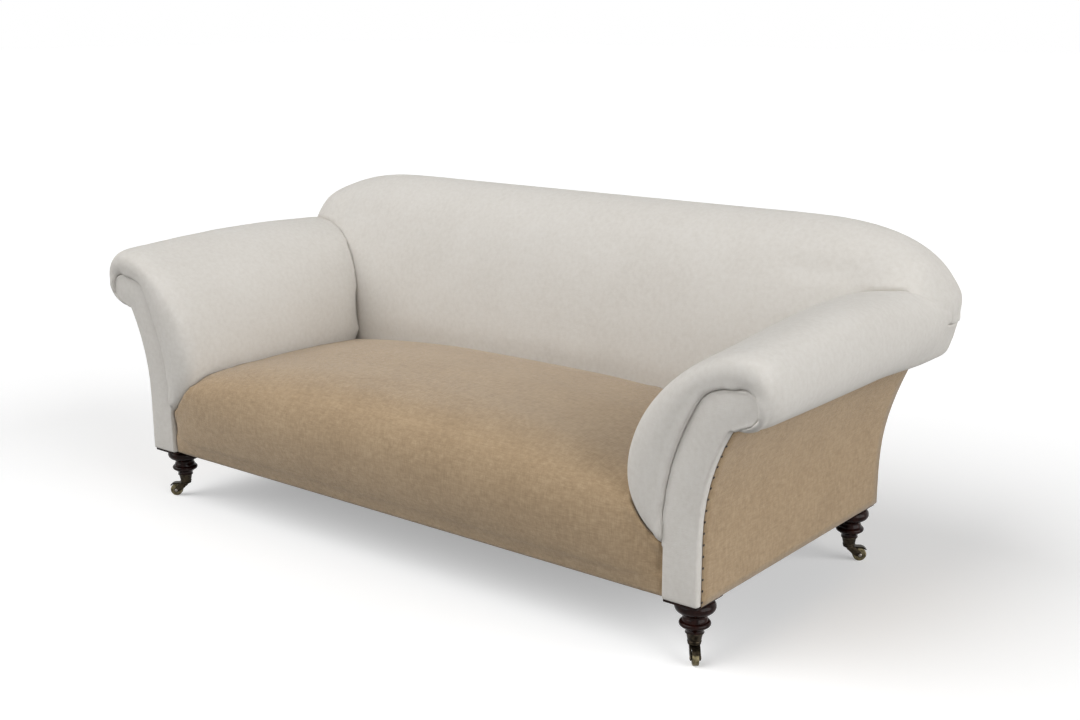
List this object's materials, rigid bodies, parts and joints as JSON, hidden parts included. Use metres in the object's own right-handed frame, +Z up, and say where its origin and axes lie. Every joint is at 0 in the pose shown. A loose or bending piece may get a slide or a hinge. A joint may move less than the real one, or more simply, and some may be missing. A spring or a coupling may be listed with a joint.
{
  "type": "chesterfield sofa",
  "caption": "Sofa with rolled scroll arms and a higher rolled back in calico and hessian under-covers, on short turned legs with brass castors.",
  "frame": {"origin": "on the floor under the middle of the sofa's bounding box", "axes": "+Z up, -Y towards the front of the seat, +X towards the sofa's left-hand arm as one sits, which is the right-hand arm as seen from the front"},
  "size_m": [2.0334, 0.9355, 0.813],
  "materials": {
    "calico": "matt off-white cotton",
    "hessian": "coarse tan jute cloth",
    "bottom_lining": "black cotton",
    "jute_webbing": "woven jute",
    "beech": "sawn and planed",
    "mahogany": "polished, dark",
    "aged_brass": "dull, aged",
    "spring_steel": "drawn wire",
    "axle_steel": "dull"
  },
  "bodies": {
    "sofa": {"left_front_stump": "beech", "left_rear_stump": "beech", "left_arm_rail": "beech", "left_arm_stay_rail": "beech", "left_back_post": "beech", "left_seat_rail": "beech", "left_back_upright": "beech", "left_arm_webbing": "jute_webbing", "left_arm_pad": "calico", "left_arm_facing": "calico", "left_outside_arm": "hessian", "right_front_stump": "beech", "right_rear_stump": "beech", "right_arm_rail": "beech", "right_arm_stay_rail": "beech", "right_back_post": "beech", "right_seat_rail": "beech", "right_back_upright": "beech", "right_arm_webbing": "jute_webbing", "right_arm_pad": "calico", "right_arm_facing": "calico", "right_outside_arm": "hessian", "front_seat_rail": "beech", "back_seat_rail": "beech", "top_back_rail": "beech", "back_stay_rail": "beech", "seat_webbing": "jute_webbing", "back_webbing": "jute_webbing", "lashed_seat_springs": "spring_steel", "spring_hessian": "hessian", "back_pad": "calico", "seat_pad": "hessian", "outside_back": "hessian", "bottom_cloth": "bottom_lining", "front_left_leg": "mahogany", "front_left_castor_cup": "aged_brass", "front_right_leg": "mahogany", "front_right_castor_cup": "aged_brass", "rear_left_leg": "mahogany", "rear_left_castor_cup": "aged_brass", "rear_right_leg": "mahogany", "rear_right_castor_cup": "aged_brass"},
    "front_left_horn": {"front_left_castor_horn": "aged_brass", "front_left_castor_axle": "axle_steel"},
    "front_left_wheel": {"front_left_castor_wheel": "aged_brass"},
    "front_right_horn": {"front_right_castor_horn": "aged_brass", "front_right_castor_axle": "axle_steel"},
    "front_right_wheel": {"front_right_castor_wheel": "aged_brass"},
    "rear_left_horn": {"rear_left_castor_horn": "aged_brass", "rear_left_castor_axle": "axle_steel"},
    "rear_left_wheel": {"rear_left_castor_wheel": "aged_brass"},
    "rear_right_horn": {"rear_right_castor_horn": "aged_brass", "rear_right_castor_axle": "axle_steel"},
    "rear_right_wheel": {"rear_right_castor_wheel": "aged_brass"}
  },
  "joints": [
    {"name": "front_left_swivel", "type": "hinge", "parent": "sofa", "child": "front_left_horn", "pos_m": [-0.813, -0.37868, 0.045], "axis": [0, 0, 1], "continuous": true},
    {"name": "front_left_roll", "type": "hinge", "parent": "front_left_horn", "child": "front_left_wheel", "pos_m": [-0.83349, -0.39469, 0.01625], "axis": [-0.6157, 0.788, 0], "continuous": true},
    {"name": "front_right_swivel", "type": "hinge", "parent": "sofa", "child": "front_right_horn", "pos_m": [0.813, -0.37868, 0.045], "axis": [0, 0, 1], "continuous": true},
    {"name": "front_right_roll", "type": "hinge", "parent": "front_right_horn", "child": "front_right_wheel", "pos_m": [0.82901, -0.39917, 0.01625], "axis": [-0.788, -0.6157, 0], "continuous": true},
    {"name": "rear_left_swivel", "type": "hinge", "parent": "sofa", "child": "rear_left_horn", "pos_m": [-0.813, 0.30762, 0.045], "axis": [0, 0, 1], "continuous": true},
    {"name": "rear_left_roll", "type": "hinge", "parent": "rear_left_horn", "child": "rear_left_wheel", "pos_m": [-0.82901, 0.32811, 0.01625], "axis": [0.788, 0.6157, 0], "continuous": true},
    {"name": "rear_right_swivel", "type": "hinge", "parent": "sofa", "child": "rear_right_horn", "pos_m": [0.813, 0.30762, 0.045], "axis": [0, 0, 1], "continuous": true},
    {"name": "rear_right_roll", "type": "hinge", "parent": "rear_right_horn", "child": "rear_right_wheel", "pos_m": [0.83349, 0.32363, 0.01625], "axis": [0.6157, -0.788, 0], "continuous": true}
  ]
}
